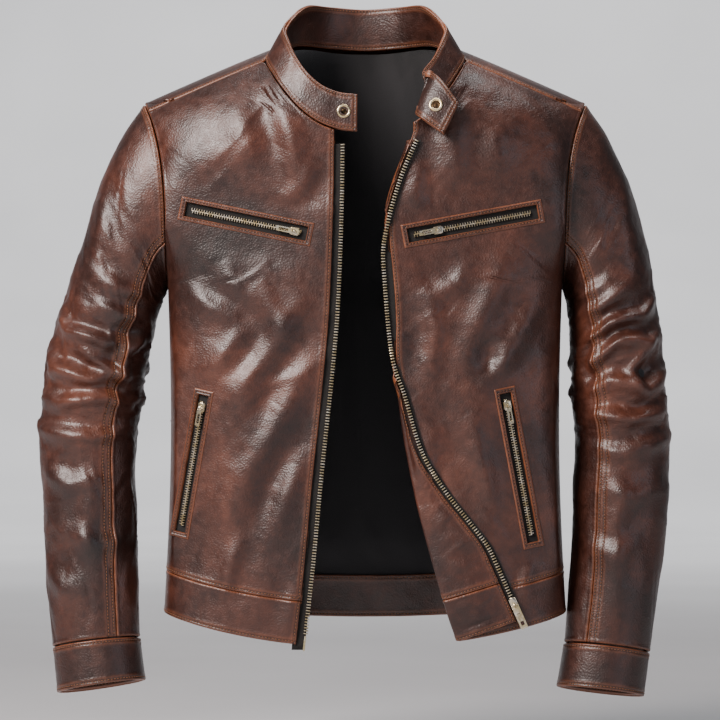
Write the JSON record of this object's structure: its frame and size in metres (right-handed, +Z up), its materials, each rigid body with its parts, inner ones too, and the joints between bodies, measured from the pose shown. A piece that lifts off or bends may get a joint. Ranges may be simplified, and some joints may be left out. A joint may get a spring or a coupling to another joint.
{
  "type": "leather riding jacket",
  "caption": "Cafe-racer style leather riding jacket with a stand collar, zipped pockets and open front, hung upright.",
  "frame": {"origin": "seat on a coat hanger: mid-width, mid-depth, level with the back neck seam", "axes": "+Z up, front faces -Y, the wearer's left is +X"},
  "size_m": [0.6792, 0.2044, 0.7487],
  "materials": {
    "leather": "waxed semi-gloss pull-up",
    "lining": "matte brushed",
    "zip_tape": "matte woven",
    "zip_teeth": "antiqued",
    "zip_metal": "antiqued nickel",
    "snap_metal": "polished"
  },
  "bodies": {
    "torso": {"back_panel": "leather", "back_yoke": "leather", "front_panel_right": "leather", "front_panel_left": "leather", "hem_band_back": "leather", "hem_band_right": "leather", "hem_band_left": "leather", "facing_right": "leather", "facing_left": "leather", "collar_outer": "leather", "collar_inner": "leather", "lining_back": "lining", "lining_front_right": "lining", "lining_front_left": "lining", "chest_welt_right": "leather", "chest_pocket_bag_right": "lining", "chest_zip_tape_right": "zip_tape", "chest_zip_teeth_right": "zip_teeth", "chest_welt_left": "leather", "chest_pocket_bag_left": "lining", "chest_zip_tape_left": "zip_tape", "chest_zip_teeth_left": "zip_teeth", "hand_welt_right": "leather", "hand_pocket_bag_right": "lining", "hand_zip_tape_right": "zip_tape", "hand_zip_teeth_right": "zip_teeth", "hand_welt_left": "leather", "hand_pocket_bag_left": "lining", "hand_zip_tape_left": "zip_tape", "hand_zip_teeth_left": "zip_teeth", "zip_teeth_right": "zip_teeth", "zip_tape_right": "zip_tape", "zip_teeth_left": "zip_teeth", "zip_tape_left": "zip_tape", "zip_box": "zip_metal", "zip_pin": "zip_metal", "snap_stud_right": "snap_metal", "snap_post_right": "snap_metal", "snap_socket_left": "snap_metal", "snap_cap_left": "snap_metal"},
    "sleeve_right": {"sleeve_top_right": "leather", "sleeve_under_right": "leather", "sleeve_lining_right": "lining", "cuff_right": "leather"},
    "sleeve_left": {"sleeve_top_left": "leather", "sleeve_under_left": "leather", "sleeve_lining_left": "lining", "cuff_left": "leather"},
    "chest_slider_right": {"chest_zip_slider_right": "zip_metal"},
    "chest_pull_right": {"chest_zip_pull_right": "zip_metal"},
    "chest_slider_left": {"chest_zip_slider_left": "zip_metal"},
    "chest_pull_left": {"chest_zip_pull_left": "zip_metal"},
    "hand_slider_right": {"hand_zip_slider_right": "zip_metal"},
    "hand_pull_right": {"hand_zip_pull_right": "zip_metal"},
    "hand_slider_left": {"hand_zip_slider_left": "zip_metal"},
    "hand_pull_left": {"hand_zip_pull_left": "zip_metal"},
    "main_slider": {"zip_slider": "zip_metal"},
    "main_pull": {"zip_pull": "zip_metal"}
  },
  "joints": [
    {"name": "sleeve_swing_right", "type": "hinge", "parent": "torso", "child": "sleeve_right", "pos_m": [-0.238, 0, -0.065], "axis": [0, 1, 0], "range_deg": [0, 20]},
    {"name": "sleeve_swing_left", "type": "hinge", "parent": "torso", "child": "sleeve_left", "pos_m": [0.238, 0, -0.065], "axis": [0, -1, 0], "range_deg": [0, 20]},
    {"name": "chest_slide_right", "type": "slide", "parent": "torso", "child": "chest_slider_right", "axis": [-0.9719, 0.1202, 0.2025], "range_m": [0, 0.1066]},
    {"name": "chest_pull_lift_right", "type": "hinge", "parent": "chest_slider_right", "child": "chest_pull_right", "pos_m": [-0.0745, -0.09916, -0.20628], "axis": [0.2016, -0.0194, 0.9793], "range_deg": [0, 170]},
    {"name": "chest_slide_left", "type": "slide", "parent": "torso", "child": "chest_slider_left", "axis": [0.9787, 0.0924, 0.1835], "range_m": [-0.019, 0.0952]},
    {"name": "chest_pull_lift_left", "type": "hinge", "parent": "chest_slider_left", "child": "chest_pull_left", "pos_m": [0.07692, -0.0978, -0.20498], "axis": [-0.1831, -0.0129, 0.983], "range_deg": [0, 170]},
    {"name": "hand_slide_right", "type": "slide", "parent": "torso", "child": "hand_slider_right", "axis": [-0.1729, 0.1016, -0.9797], "range_m": [0, 0.1221]},
    {"name": "hand_pull_lift_right", "type": "hinge", "parent": "hand_slider_right", "child": "hand_pull_right", "pos_m": [-0.17449, -0.08535, -0.39223], "axis": [-0.8827, 0.4253, 0.1999], "range_deg": [0, 170]},
    {"name": "hand_slide_left", "type": "slide", "parent": "torso", "child": "hand_slider_left", "axis": [0.1856, 0.0535, -0.9812], "range_m": [0, 0.1346]},
    {"name": "hand_pull_lift_left", "type": "hinge", "parent": "hand_slider_left", "child": "hand_pull_left", "pos_m": [0.15106, -0.09284, -0.38998], "axis": [-0.955, -0.2254, -0.193], "range_deg": [0, 170]},
    {"name": "main_slide", "type": "slide", "parent": "torso", "child": "main_slider", "axis": [-0.406, -0.0632, 0.9117], "range_m": [0, 0.045]},
    {"name": "main_pull_lift", "type": "hinge", "parent": "main_slider", "child": "main_pull", "pos_m": [0.15771, -0.09824, -0.60065], "axis": [-0.9135, 0, -0.4068], "range_deg": [0, 170]}
  ]
}
